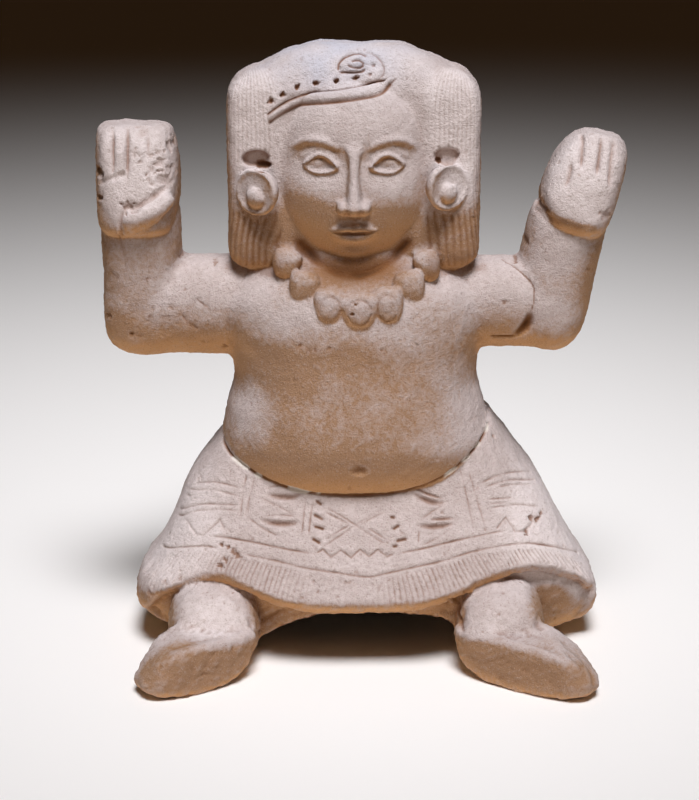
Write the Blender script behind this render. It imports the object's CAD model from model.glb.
import math

import bmesh
import bpy
import numpy as np
from mathutils import Euler, Matrix, Vector
from mathutils.bvhtree import BVHTree


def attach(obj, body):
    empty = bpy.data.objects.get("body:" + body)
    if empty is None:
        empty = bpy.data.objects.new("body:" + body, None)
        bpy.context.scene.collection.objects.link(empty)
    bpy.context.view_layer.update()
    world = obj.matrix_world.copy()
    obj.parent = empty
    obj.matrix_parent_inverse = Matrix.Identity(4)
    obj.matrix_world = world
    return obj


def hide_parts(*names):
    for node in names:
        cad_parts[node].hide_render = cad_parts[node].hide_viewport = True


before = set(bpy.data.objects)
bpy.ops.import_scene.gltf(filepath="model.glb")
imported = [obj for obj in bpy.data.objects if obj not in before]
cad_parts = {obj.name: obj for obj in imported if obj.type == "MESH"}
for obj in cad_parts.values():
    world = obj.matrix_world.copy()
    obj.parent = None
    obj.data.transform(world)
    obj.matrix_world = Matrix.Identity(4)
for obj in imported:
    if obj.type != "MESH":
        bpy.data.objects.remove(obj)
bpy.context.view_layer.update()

mm = 0.001

# The figure is shaped in millimetres about its own centre line, with its front towards -Y, and is placed in
# the frame last.
centreLine = Vector((-1.770, 16.784, 0.0))  # where that line stands in the frame
toFrame = Matrix.Scale(mm, 4) @ Matrix.Translation(centreLine)


# Shapes

def spline(values, t):
    # the smooth way through the listed tuples, t running from 0 at the first to 1 at the last
    spot = min(max(t, 0.0), 1.0) * (len(values) - 1)
    i = min(int(spot), len(values) - 2)
    f = spot - i
    around = [np.array(values[min(max(j, 0), len(values) - 1)], float) for j in range(i - 1, i + 3)]
    before, start, end, after = around
    bend = 2 * before - 5 * start + 4 * end - after + f * (3 * (start - end) + after - before)
    return start + 0.5 * f * (end - before + f * bend)


def outlineReach(coords, squareness):
    # how far a direction runs to the unit outline, from 2, round, to 6, nearly square
    total = sum(abs(c) ** squareness for c in coords)
    return total ** (-1 / squareness) if total > 0 else 0.0


def place(shape, spot, turn=(0, 0, 0)):
    matrix = Matrix.Translation(spot) @ Euler([math.radians(a) for a in turn]).to_matrix().to_4x4()
    bmesh.ops.transform(shape, matrix=matrix, verts=shape.verts)
    return shape


def rounded(half, squareness, segments=64):
    # a ball or a block with soft corners
    shape = bmesh.new()
    bmesh.ops.create_uvsphere(shape, u_segments=segments, v_segments=segments // 2, radius=1)
    for vert in shape.verts:
        size = outlineReach(vert.co, squareness)
        vert.co = Vector([c * size * h for c, h in zip(vert.co, half)])
    return shape


def lofted(sections, squareness, sides=96, rows=72):
    # a closed body drawn through level sections: x, y, z, half width, reach forwards, reach back
    shape = bmesh.new()
    bmesh.ops.create_cone(shape, cap_ends=True, segments=sides, radius1=1, radius2=1, depth=1)
    upright = [e for e in shape.edges if abs(e.verts[0].co.z - e.verts[1].co.z) > 0.5]
    bmesh.ops.subdivide_edges(shape, edges=upright, cuts=rows, use_grid_fill=True)
    levels = {}
    for vert in shape.verts:
        level = round(vert.co.z + 0.5, 5)
        if level not in levels:
            levels[level] = spline(sections, level)
        x, y, z, half, front, back = levels[level]
        size = outlineReach(vert.co.xy, squareness)
        depth = front if vert.co.y < 0 else back
        vert.co = Vector((x + vert.co.x * size * half, y + vert.co.y * size * depth, z))
    return shape


def strand(path, width, proud, squareness=2.0, sides=16, rows=40, ends=6):
    # a rounded strip laid along a path, its width across the path and its depth towards the front
    shape = bmesh.new()
    bmesh.ops.create_cone(shape, cap_ends=True, segments=sides, radius1=1, radius2=1, depth=1)
    upright = [e for e in shape.edges if abs(e.verts[0].co.z - e.verts[1].co.z) > 0.5]
    bmesh.ops.subdivide_edges(shape, edges=upright, cuts=rows, use_grid_fill=True)
    for vert in shape.verts:
        t = vert.co.z + 0.5
        middle = spline(path, t)
        along = spline(path, min(t + 0.01, 1)) - spline(path, max(t - 0.01, 0))
        across = np.cross(along, (0.0, -1.0, 0.0))
        across = across / np.linalg.norm(across)
        taper = max(1 - abs(2 * t - 1) ** ends, 0.0) ** (1 / ends)
        size = outlineReach(vert.co.xy, squareness) * taper
        offset = across * vert.co.x * width * size + np.array((0, vert.co.y * proud * size, 0))
        vert.co = Vector(middle + offset)
    return shape


def spun(profile, steps=64):
    # a turned form: its profile runs from the axis out and back to the axis, up being the way it faces
    shape = bmesh.new()
    verts = [shape.verts.new((across, 0, up)) for across, up in profile]
    edges = [shape.edges.new(pair) for pair in zip(verts, verts[1:])]
    bmesh.ops.spin(shape, geom=verts + edges, axis=(0, 0, 1), cent=(0, 0, 0), angle=math.tau,
                   steps=steps, use_merge=True)
    bmesh.ops.remove_doubles(shape, verts=shape.verts, dist=1e-4)
    bmesh.ops.recalc_face_normals(shape, faces=shape.faces)
    return shape


def toObject(name, shape):
    mesh = bpy.data.meshes.new(name)
    shape.to_mesh(mesh)
    shape.free()
    piece = bpy.data.objects.new(name, mesh)
    bpy.context.collection.objects.link(piece)
    return piece


def applyModifiers(piece):
    ready = piece.evaluated_get(bpy.context.evaluated_depsgraph_get())
    mesh = bpy.data.meshes.new_from_object(ready)
    old = piece.data
    piece.modifiers.clear()
    piece.data = mesh
    bpy.data.meshes.remove(old)


def cutAway(shape, cutter):
    # the shape less the cutter, both closed
    body, tool = toObject("body", shape), toObject("tool", cutter)
    cut = body.modifiers.new("cut", "BOOLEAN")
    cut.operation, cut.solver, cut.object = "DIFFERENCE", "EXACT", tool
    applyModifiers(body)
    left = bmesh.new()
    left.from_mesh(body.data)
    for piece in (body, tool):
        bpy.data.meshes.remove(piece.data)
    return left


def melted(name, shapes, voxel, softening):
    # closed shapes that overlap, melted into one skin, with the seams between them rounded
    whole = bmesh.new()
    for shape in shapes:
        mesh = bpy.data.meshes.new("shape")
        shape.to_mesh(mesh)
        shape.free()
        whole.from_mesh(mesh)
        bpy.data.meshes.remove(mesh)
    piece = toObject(name, whole)
    skin = piece.modifiers.new("skin", "REMESH")
    skin.mode, skin.voxel_size = "VOXEL", voxel
    soften = piece.modifiers.new("soften", "SMOOTH")
    soften.factor, soften.iterations = 0.5, softening
    applyModifiers(piece)
    return piece


def meshShape(piece):
    # takes a finished object back as a shape
    shape = bmesh.new()
    shape.from_mesh(piece.data)
    bpy.data.meshes.remove(piece.data)
    return shape


# Body: the large masses of the pressed clay

body = {
    "torso": [
        (0.0, 0, 44, 34.0, 22.0, 22), (0.5, 0, 52, 41.0, 25.5, 25), (0.5, 0, 60, 44.5, 33.3, 26),
        (0.6, 0, 70, 45.4, 36.4, 26), (0.0, 0, 80, 43.0, 35.2, 25), (0.0, 0, 90, 40.3, 32.6, 24),
        (-0.4, 0, 100, 41.5, 30.4, 23), (-0.8, 0, 110, 44.0, 29.4, 22), (-1.0, 0, 120, 43.0, 27.0, 20),
        (-1.0, 0, 128, 36.0, 21.0, 17), (-1.0, 0, 138, 22.0, 15.0, 13),
    ],
    "torsoSquareness": 2.3,
    "navel": (1.1, 67.0, 3.2, 2.0, 1.1),
    "skirt": [
        (2.0, -4, 0, 58.0, 29.0, 36), (4.4, -8, 7, 73.4, 28.0, 43), (4.0, -10, 15, 78.2, 33.0, 46),
        (3.5, -10, 24, 76.0, 36.0, 46), (4.0, -8.8, 31, 71.0, 34.6, 44.5),
        (3.7, -7, 39, 66.5, 32.5, 42), (2.6, -3, 55, 58.6, 28.5, 36), (3.0, 0, 66, 50.0, 28.5, 31),
        (2.5, 0, 76, 43.0, 25.0, 27),
    ],
    "skirtSquareness": 2.7,
    "hemLine": [
        (-86, 8), (-72, 12), (-65, 22), (-56, 28.5), (-46, 31.4), (-36, 29.3), (-25, 25), (-13, 22.8),
        (0, 22.4), (15, 23), (26, 25.3), (36, 29), (47, 32.5), (58, 33.4), (67, 31), (74, 27), (79, 21),
        (88, 13),
    ],
    "hemBack": -18.0, "hemRounding": [(0.0, 0.6), (0.9, -0.8), (2.1, -2.2), (3.8, -3.5)],
    "coreInset": (2.5, 11.0),
    "archLine": [
        (-36, -6), (-33.6, 2.7), (-25, 9), (-18.5, 12), (-8.5, 15.5), (-1.8, 16.4), (14.8, 14.6),
        (25, 13.7), (32, 10.8), (35, 3), (36.5, -6),
    ],
    "archBack": 24.0,
}


def extruded(line, fromY, toY, floor=-12.0, steps=90):
    # the region below a line seen from the front, drawn out from one depth to another
    shape = bmesh.new()
    outline = [spline(line, i / steps) for i in range(steps + 1)]
    outline = outline + [(line[-1][0], floor), (line[0][0], floor)]
    face = shape.faces.new([shape.verts.new((x, fromY, z)) for x, z in outline])
    far = bmesh.ops.extrude_face_region(shape, geom=[face])["geom"]
    moved = [v for v in far if isinstance(v, bmesh.types.BMVert)]
    bmesh.ops.translate(shape, vec=(0, toY - fromY, 0), verts=moved)
    bmesh.ops.recalc_face_normals(shape, faces=shape.faces)
    return shape


def makeSkirt():
    # the wrap is built in layers, each further in and cut off lower, so that its hem turns under
    sideInset, frontInset = body["coreInset"]
    layers = []
    for inset, drop in body["hemRounding"]:
        sections = [(x, y, z, half - inset, front - inset, back - inset)
                    for x, y, z, half, front, back in body["skirt"]]
        hem = [(x, z + drop) for x, z in body["hemLine"]]
        layers.append(cutAway(lofted(sections, body["skirtSquareness"], sides=128),
                              extruded(hem, -80, body["hemBack"])))
    core = [(x, y, z, half - sideInset, front - frontInset * min(z / 15, 1), back)
            for x, y, z, half, front, back in body["skirt"]]
    layers.append(lofted(core, body["skirtSquareness"], sides=128))
    return [cutAway(layer, extruded(body["archLine"], -80, body["archBack"])) for layer in layers]


arms = {
    "front": 14.0, "back": 13.0, "squareness": 2.4,
    "left": {"from": -30, "elbow": -83.3, "z": 113.6, "halfHeight": 16.3,
             "wrist": -70.4, "lean": 0, "top": 150},
    "right": {"from": 30, "elbow": 74.3, "z": 114.6, "halfHeight": 15.0,
              "wrist": 60.8, "lean": 12, "top": 148},
    "foreHalf": 13.0, "round": 11.0,
}


def makeArm(arm):
    side = math.copysign(1, arm["elbow"])
    length = abs(arm["elbow"] - arm["from"])
    r = arms["round"]
    upper = ((0, 1), (length * 0.4, 1), (length - r, 1), (length - r * 0.45, 0.88),
             (length - r * 0.12, 0.66), (length, 0.4))
    shape = lofted([(0, 0, at, arm["halfHeight"] * s, arms["front"] * s, arms["back"] * s)
                    for at, s in upper], arms["squareness"])
    place(shape, (arm["from"], 0, arm["z"]), (0, side * 90, 0))
    bottom = arm["z"] - arm["halfHeight"]
    height = arm["top"] - bottom
    fore = ((0, 0.45, 1), (r * 0.1, 0.62, 1), (r * 0.45, 0.88, 1), (r, 1, 1), (height * 0.6, 1, 1),
            (height * 0.85, 1, 0.8), (height, 0.92, 0.5))
    rising = lofted([(0, 0, at, arms["foreHalf"] * s, arms["front"] * s, arms["back"] * s * thin)
                     for at, s, thin in fore], arms["squareness"])
    place(rising, (arm["wrist"], 0, bottom), (0, arm["lean"], 0))
    return [shape, rising]


feet = {
    "sole": [(-0.6, 0.74), (0.6, 0.86), (2.2, 0.92), (5, 0.96), (10, 0.99), (14, 1.02), (16, 1.02),
             (17.2, 0.97), (18, 0.86)],
    "soleSquareness": 3.0,
    "left": {"spot": (-53.5, -54.0), "length": 21.8, "width": 10.2, "turn": 32,
             "toeLift": 3.5, "heelLift": 5.4, "toeDrop": 7.4, "toeSlant": 9.4,
             "shin": (-47, -31, 8), "shinHalf": (15.4, 20, 19.5)},
    "right": {"spot": (57.0, -53.5), "length": 26.5, "width": 9.7, "turn": -31,
              "toeLift": 2.8, "heelLift": 4.0, "toeDrop": 11.0, "toeSlant": 7.5,
              "shin": (48, -34, 9), "shinHalf": (14.5, 20, 19.5)},
    "heelDrop": 1.8, "shinSquareness": 2.8,
    "anklePinch": 0.3, "ankleHeight": 9.0,
}


def makeFoot(name):
    # a thick sole whose toes and heel rise off the ground, its top falling away towards the toes
    foot = feet[name]
    toes = -1 if name == "left" else 1
    length, width, height = foot["length"], foot["width"], feet["sole"][-1][0]
    shape = lofted([(0, 0, z, length * s, width * s, width * s) for z, s in feet["sole"]],
                   feet["soleSquareness"])
    for vert in shape.verts:
        toe, heel = max(toes * vert.co.x / length, 0), max(-toes * vert.co.x / length, 0)
        up = max(vert.co.z / height, 0)
        lift = foot["toeLift"] * toe ** 2 + foot["heelLift"] * heel ** 2
        drop = foot["toeDrop"] * toe ** 2 * (0.6 + 0.4 * vert.co.y / width) + feet["heelDrop"] * heel ** 2
        vert.co.x -= toes * foot["toeSlant"] * up * toe
        vert.co.z += (1 - up) * lift - up * drop
    x, y = foot["spot"]
    place(shape, (x, y, 0), (0, 0, foot["turn"]))
    shin = rounded(foot["shinHalf"], feet["shinSquareness"])
    for vert in shin.verts:
        low = 1 - (vert.co.z + foot["shin"][2]) / feet["ankleHeight"]
        vert.co.x *= 1 - feet["anklePinch"] * min(max(low, 0), 1)
    return [shape, place(shin, foot["shin"])]


head = {
    "centre": (-0.6, 5, 163), "half": (41, 19, 35), "squareness": 4.6, "lean": -6,
    "domeRise": 5, "domeHalf": 25, "crown": 200,
    "hairInner": 17, "hairOuter": 41, "hairFront": 15.8, "hairLean": 4.5, "hairBack": 14,
    "hairBottom": 127.6, "hairTop": 193.5, "hairSquareness": 5,
}


def makeHead():
    skull = rounded(head["half"], head["squareness"], 96)
    for vert in skull.verts:
        rise = head["domeRise"] * math.exp(-(vert.co.x / head["domeHalf"]) ** 4)
        vert.co.z += max(vert.co.z, 0) / head["half"][2] * rise
    place(skull, head["centre"], (head["lean"], 0, 0))
    top = max(v.co.z for v in skull.verts)
    return place(skull, (0, 0, head["crown"] - top))


def makeHairBlock(side):
    half = (head["hairOuter"] - head["hairInner"]) / 2
    middle = head["centre"][0] + side * (head["hairInner"] + half)
    height = head["hairTop"] - head["hairBottom"]
    shaped = ((0, 0.66), (0.02, 0.84), (0.05, 0.94), (0.1, 1), (0.3, 1), (0.6, 1), (0.85, 1), (0.93, 0.9),
              (0.98, 0.72), (1, 0.5))
    sections = [(middle - side * half * (1 - s), 0, head["hairBottom"] + at * height, half * s,
                 (head["hairFront"] - head["hairLean"] * at) * s, head["hairBack"] * s) for at, s in shaped]
    return lofted(sections, head["hairSquareness"], sides=96, rows=90)


print("shaping the masses")
soft = {"voxel": 1.0, "skirtVoxel": 0.8, "torso": 9, "head": 12, "feet": 3, "skirt": 5}
torso = melted("torso", [lofted(body["torso"], body["torsoSquareness"])] + makeArm(arms["left"])
               + makeArm(arms["right"]), soft["voxel"], soft["torso"])
crown = melted("head", [makeHead(), makeHairBlock(-1), makeHairBlock(1)], soft["voxel"], soft["head"])
footing = melted("feet", makeFoot("left") + makeFoot("right"), soft["voxel"], soft["feet"])
wrap = melted("skirt", makeSkirt(), soft["skirtVoxel"], soft["skirt"])


# Face: calm and ideal, laid out by the usual halves and thirds of a head

face = {
    "headHeight": 70.0,  # crown to chin; the face's places and widths follow from it
    "middle": -0.6, "back": -5, "deep": 17, "squareness": 2.3,
    "socket": (8.0, 5.2, 2.3), "cheek": (10.0, 9.0, 1.3), "temple": (8.0, 16.0, -1.6),
    "jaw": (9.0, 5.5, 2.6), "muzzle": (11.0, 7.5, 1.6), "underLip": (6.5, 2.4, -1.1),
    "jawCrease": (0.94, 1.04),
}
face["chin"] = head["crown"] - face["headHeight"]
face["hairline"] = head["crown"] - face["headHeight"] / 7
face["eyeWidth"] = 0.75 * face["headHeight"] / 5
face["noseWidth"] = face["eyeWidth"]
face["mouthWidth"] = 1.5 * face["eyeWidth"]
face["centre"] = (face["middle"], face["back"], (face["hairline"] + face["chin"]) / 2)
face["half"] = (2.5 * face["eyeWidth"], face["deep"], (face["hairline"] - face["chin"]) / 2)
face["browLine"] = face["hairline"] - (face["hairline"] - face["chin"]) / 3
face["noseLine"] = face["hairline"] - (face["hairline"] - face["chin"]) * 2 / 3
face["mouthLine"] = face["noseLine"] - (face["noseLine"] - face["chin"]) / 3
face["eyeLine"] = head["crown"] - face["headHeight"] / 2


def faceFront(x, z):
    # the depth of the front of the bare face, with its soft hollows and fullnesses
    cx, cy, cz = face["centre"]
    half, deep, tall = face["half"]
    n = face["squareness"]
    away = abs((x - cx) / half) ** n + abs((z - cz) / tall) ** n
    front = cy - deep * max(1 - away, 0.0) ** (1 / n)

    def swell(name, across, level):
        # a soft fullness, or a hollow where its height is negative, on both sides of the middle
        wide, high, out = face[name]
        return out * math.exp(-((abs(x - cx) - across) / wide) ** 2 - ((z - level) / high) ** 2)

    eye = face["eyeWidth"]
    front += swell("socket", eye * 0.98, face["eyeLine"] + 0.8)
    front -= swell("cheek", eye * 1.25, face["noseLine"] + 1.5)
    front -= swell("temple", face["half"][0] * 0.86, face["browLine"])
    front -= swell("jaw", 0, face["chin"] + 4.5)
    front -= swell("muzzle", 0, face["mouthLine"])
    front -= swell("underLip", 0, face["mouthLine"] - 5.2)
    return front


def faceLine(line, proud=0.0):
    return [(face["centre"][0] + x, faceFront(face["centre"][0] + x, z) - proud, z) for x, z in line]


def makeFace():
    # the bare face, its front pushed to the depth that the layout gives
    shape = rounded(face["half"], face["squareness"], 160)
    place(shape, face["centre"])
    plain = face["centre"][1]
    for vert in shape.verts:
        if vert.co.y < plain:
            ease = min((plain - vert.co.y) / 5.0, 1.0)
            vert.co.y += ease * (faceFront(vert.co.x, vert.co.z) - vert.co.y)
    shapes = [shape]

    base, brow = face["noseLine"], face["browLine"]
    x, y = face["centre"][0], faceFront(face["centre"][0], base + 2) + 1.2
    wide = face["noseWidth"] / 2
    bridge = [(x, y, base - 0.9, wide * 0.42, 4.0, 5), (x, y, base + 0.3, wide * 0.62, 7.4, 5),
              (x, y, base + 2.2, wide * 0.66, 8.4, 5), (x, y, base + 4.6, wide * 0.52, 7.0, 5),
              (x, y, base + 10, wide * 0.4, 4.6, 5), (x, y, base + 16, wide * 0.38, 2.6, 5),
              (x, y, brow, wide * 0.5, 1.2, 5), (x, y + 3, brow + 5, wide * 0.6, 0.6, 5)]
    shapes.append(lofted(bridge, 2.1, sides=48, rows=48))
    for side in (-1, 1):
        wing = place(rounded((wide * 0.42, 4.0, 2.3), 2.2, 32), (x + side * wide * 0.62, y - 2.6, base + 1.6))
        shapes.append(wing)

        eye, level = face["eyeWidth"], face["eyeLine"]
        middle = side * eye
        ball = faceLine([(middle, level)], proud=-2.0)[0]
        shapes.append(place(rounded((eye * 0.5, 3.1, 3.3), 2.1, 48), ball))
        corners = (middle - side * eye * 0.52, level - 1.1), (middle + side * eye * 0.54, level - 0.5)
        upper = [corners[0],
                 (middle - side * 2.6, level + 2.0), (middle + side * 1.2, level + 2.9), corners[1]]
        lower = [corners[0],
                 (middle - side * 1.6, level - 2.5), (middle + side * 2.2, level - 2.5), corners[1]]
        crease = [(middle - side * eye * 0.5, level + 1.2), (middle, level + 5.1),
                  (middle + side * eye * 0.6, level + 1.4)]
        shapes.append(strand(faceLine(upper, 0.7), 0.75, 1.3))
        shapes.append(strand(faceLine(lower, 0.35), 0.6, 1.0))
        shapes.append(strand(faceLine(crease, -0.5), 1.1, 1.1))
        arch = [(side * 4.0, brow - 0.6), (side * 9.5, brow + 2.2), (side * 15, brow + 2.0),
                (side * 20, brow - 1.4)]
        shapes.append(strand(faceLine(arch, -0.7), 1.7, 1.7, ends=2.5))

    half, level = face["mouthWidth"] / 2, face["mouthLine"]
    upperLip = [(-half, level + 0.1), (-half * 0.55, level + 1.15), (-half * 0.2, level + 1.75),
                (0, level + 1.35), (half * 0.2, level + 1.75), (half * 0.55, level + 1.15),
                (half, level + 0.1)]
    lowerLip = [(-half * 0.9, level - 0.3), (-half * 0.4, level - 1.7), (0, level - 2.0),
                (half * 0.4, level - 1.7), (half * 0.9, level - 0.3)]
    shapes.append(strand(faceLine(upperLip, 0.3), 1.35, 1.9, ends=3))
    shapes.append(strand(faceLine(lowerLip, 0.2), 1.75, 2.0, ends=2.5))
    return shapes


# Forms: what is crisper than the masses

forms = {"voxel": 0.5, "softening": 2}

hands = {
    "bottom": {"left": 139.6, "right": 140.5}, "height": {"left": 35.3, "right": 33.5},
    "half": {"left": 12.8, "right": 11.2}, "shift": {"left": -1.2, "right": 1.7},
    "front": {"left": 17.6, "right": 16.4}, "back": 3.0, "squareness": 3.0,
    "left": [(0, 0.80, 0.76, 0.4), (0.03, 0.90, 0.88, 0.4), (0.10, 0.98, 1, 0.3), (0.4, 1.06, 0.96, 0.8),
             (0.7, 1.04, 0.82, 0.6), (0.9, 0.98, 0.68, 0.2), (0.97, 0.90, 0.58, 0), (1, 0.74, 0.46, 0)],
    "right": [(0, 0.66, 0.72, 0.6), (0.03, 0.80, 0.84, 0.4), (0.12, 0.96, 1, 0), (0.3, 1.12, 1, -0.7),
              (0.55, 1.12, 0.94, -0.3), (0.75, 1.04, 0.82, 0.6), (0.88, 0.88, 0.7, 1.4),
              (0.96, 0.66, 0.6, 1.8), (1, 0.42, 0.5, 1.8)],
    "thumb": {"left": [(10.8, -13.5, 14.5), (5.8, -16.4, 10.1), (0.2, -17.0, 6.8), (-4.4, -16.4, 5.0)]},
    "thumbHalf": 3.8, "thumbProud": 2.8,
    "knocks": [(-62.8, 164, 1.7, 0.7), (-65.4, 162, 1.1, 0.6), (-61.5, 158.4, 2.4, 0.9),
               (-59.8, 168.9, 1.6, 0.8), (-73.2, 150.4, 1.6, 1.2), (-71, 149.5, 1.3, 0.9),
               (-68.2, 173, 1.6, 0.6), (-70.5, 167, 1.2, 0.4), (-65.6, 166.6, 1.0, 0.5),
               (-68.8, 164.6, 1.0, 0.4), (-60.2, 161.8, 1.3, 0.6)],
}


def makeHand(side):
    arm = arms[side]
    foot = arm["z"] - arm["halfHeight"]
    start = hands["bottom"][side] - foot
    half, middle = hands["half"][side], hands["shift"][side]
    sections = [(middle + shift, 0, start + at * hands["height"][side], half * wide,
                 hands["front"][side] * deep, hands["back"]) for at, wide, deep, shift in hands[side]]
    shapes = [lofted(sections, hands["squareness"])]
    if side in hands["thumb"]:
        path = [(x, y, start + z) for x, y, z in hands["thumb"][side]]
        shapes.append(strand(path, hands["thumbHalf"], hands["thumbProud"], ends=3))
    return [place(shape, (arm["wrist"], 0, foot), (0, arm["lean"], 0)) for shape in shapes]


earDiscs = {
    "spots": [(-32.3, -19, 155.6), (30, -18, 157)],
    "turn": 34,
    "profile": [
        (0, -5), (6.2, -5), (7.8, -1.6), (7.9, -0.6), (7.4, 0), (6.8, 0.1), (6.1, -0.4), (4.2, -0.55),
        (0, -0.55),
    ],
    "boss": (3.2, 1.7, 3.2), "bossDrop": 1.9,
    "notches": [  # over each disc: place, half sizes, depth, turn, edge, roughness, dirt
        (-32.2, 165.4, 4.8, 2.8, 2.6, 6, 8, 0.05, 0.4), (-29.6, 163.4, 2.8, 1.4, 3.6, 0, 4, 0.08, 1.1),
        (29.2, 166.4, 4.7, 2.6, 1.8, 2, 6, 0.08, 0.35), (26.4, 164.8, 1.2, 1.2, 2.8, 0, 3, 0.2, 1.1),
    ],
}


def makeEarDisc(spot):
    disc = place(spun(earDiscs["profile"]), (0, 0, 0), (90, 0, 0))
    boss = place(rounded(earDiscs["boss"], 2.2, 32), (0, 0.4, -earDiscs["bossDrop"]))
    turn = math.copysign(earDiscs["turn"], spot[0])
    return [place(shape, spot, (0, 0, turn)) for shape in (disc, boss)]


necklace = {
    "beads": [  # middle, half width, half height
        ((-22.6, -17, 132.1), 4.6, 5.0), ((-16.8, -21.3, 124.4), 4.6, 6.0), ((-8.2, -25.4, 119.3), 4.9, 6.2),
        ((1.2, -26.4, 118.4), 5.9, 6.4), ((10.2, -25.2, 119.6), 4.9, 6.6), ((17.6, -21, 124.5), 4.6, 6.0),
        ((23.4, -17, 131.3), 4.1, 5.3),
    ],
    "depth": 3.8, "taper": 0.26, "middle": 150.0, "fan": 0.4,
    "pits": [(-0.2, 121.6, 0.7), (-1.2, 118.2, 0.9)],
}


def makeNecklace():
    # flat beads like broad petals, fanned out a little round the neck
    beads = []
    for spot, half, height in necklace["beads"]:
        bead = rounded((half, necklace["depth"], height), 2.6, 40)
        for vert in bead.verts:
            vert.co.x *= 1 + necklace["taper"] * vert.co.z / height
        away = math.degrees(math.atan2(spot[0], necklace["middle"] - spot[2]))
        beads.append(place(bead, spot, (0, -necklace["fan"] * away, 0)))
    return beads


print("adding the finer forms")
figure = melted("figure", [meshShape(piece) for piece in (torso, crown, footing, wrap)] + makeFace()
                + makeHand("left") + makeHand("right")
                + makeEarDisc(earDiscs["spots"][0]) + makeEarDisc(earDiscs["spots"][1]) + makeNecklace(),
                forms["voxel"], forms["softening"])


def standOn(piece, height):
    # cuts the piece off flat where it stands
    shape = bmesh.new()
    shape.from_mesh(piece.data)
    whole = list(shape.verts) + list(shape.edges) + list(shape.faces)
    cut = bmesh.ops.bisect_plane(shape, geom=whole, plane_co=(0, 0, height), plane_no=(0, 0, -1),
                                 clear_outer=True)["geom_cut"]
    rim = [e for e in cut if isinstance(e, bmesh.types.BMEdge)]
    bmesh.ops.holes_fill(shape, edges=rim)
    bmesh.ops.triangulate(shape, faces=[f for f in shape.faces if len(f.verts) > 4])
    shape.to_mesh(piece.data)
    shape.free()


standOn(figure, 0.0)


# Carving: every mark is a push in or out along the surface, in millimetres

fineAreas = [  # low and high corners of the areas whose mesh is made twice as fine
    ((-43, -30, 129), (-25, 9, 200)), ((25, -30, 129), (43, 9, 200)),
    ((-29, -30, 174), (16, 0, 200)), ((-20, -40, 134), (19, -14, 175)),
    ((-86, -60, 24), (86, -14, 66)), ((-86, -30, 138), (-56, -6, 180)), ((55, -30, 136), (90, -6, 178)),
    ((-31, -40, 114), (31, -10, 136)),
]


def refine(piece):
    shape = bmesh.new()
    shape.from_mesh(piece.data)
    chosen = set()
    for flat in shape.faces:
        spot = flat.calc_center_median()
        if any(all(low[i] < spot[i] < high[i] for i in range(3)) for low, high in fineAreas):
            chosen.update(flat.edges)
    bmesh.ops.subdivide_edges(shape, edges=list(chosen), cuts=1, use_grid_fill=True)
    shape.to_mesh(piece.data)
    shape.free()


print("refining the carved areas")
refine(figure)

mesh = figure.data
count = len(mesh.vertices)
points = np.empty(count * 3)
mesh.vertices.foreach_get("co", points)
points = points.reshape(-1, 3)
normals = np.empty(count * 3)
mesh.vertex_normals.foreach_get("vector", normals)
normals = normals.reshape(-1, 3)
surface = BVHTree.FromObject(figure, bpy.context.evaluated_depsgraph_get())
cut = np.zeros(count)   # how deep the tool went
rise = np.zeros(count)  # how far the clay stands out
soil = np.zeros(count)  # dirt left in what was cut or broken
print("vertices", count)


def ripple(spots, size, seed, waves=10):
    # a smooth unevenness, mostly between -1 and 1, with bumps about as wide as the size
    rng = np.random.default_rng(seed)
    total = np.zeros(len(spots))
    for i in range(waves):
        direction = rng.normal(size=3)
        direction /= np.linalg.norm(direction)
        length = 2 * size * rng.uniform(0.7, 1.4)
        total += np.sin(spots @ direction * (math.tau / length) + rng.uniform(0, math.tau))
    return total / math.sqrt(waves)


def frontSpot(x, z):
    hit = surface.ray_cast(Vector((x, -150, z)), Vector((0, 1, 0)))[0]
    return None if hit is None else np.array(hit)


def onSurface(line, step=1.2, smooth=True):
    # the line, given as places seen from the front, laid on the surface
    length = sum(math.dist(a, b) for a, b in zip(line, line[1:]))
    steps = max(int(length / step), 2)
    if smooth and len(line) > 2:
        flat = [spline(line, i / steps) for i in range(steps + 1)]
    else:
        parts = [(a, b, max(int(math.dist(a, b) / step), 1)) for a, b in zip(line, line[1:])]
        flat = [tuple(a[k] + (b[k] - a[k]) * i / n for k in (0, 1))
                for a, b, n in parts for i in range(n)] + [line[-1]]
    spots = [frontSpot(x, z) for x, z in flat]
    return np.array([s for s in spots if s is not None])


def within(low, high):
    return np.nonzero(((points > low) & (points < high)).all(axis=1))[0]


def nearPath(path, reach):
    # the vertices within reach of a path, how far off they are and how far along it, from 0 to 1
    near = within(path.min(axis=0) - reach, path.max(axis=0) + reach)
    spots = points[near]
    best = np.full(len(near), 1e9)
    along = np.zeros(len(near))
    lengths = np.linalg.norm(np.diff(path, axis=0), axis=1)
    whole = max(lengths.sum(), 1e-6)
    done = 0.0
    for a, b, length in zip(path, path[1:], lengths):
        way = (b - a) / max(length, 1e-6)
        t = np.clip((spots - a) @ way, 0, length)
        away = np.linalg.norm(spots - a - t[:, None] * way, axis=1)
        closer = away < best
        best[closer] = away[closer]
        along[closer] = (done + t[closer]) / whole
        done += length
    inside = best < reach
    return near[inside], best[inside], along[inside], whole


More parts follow.
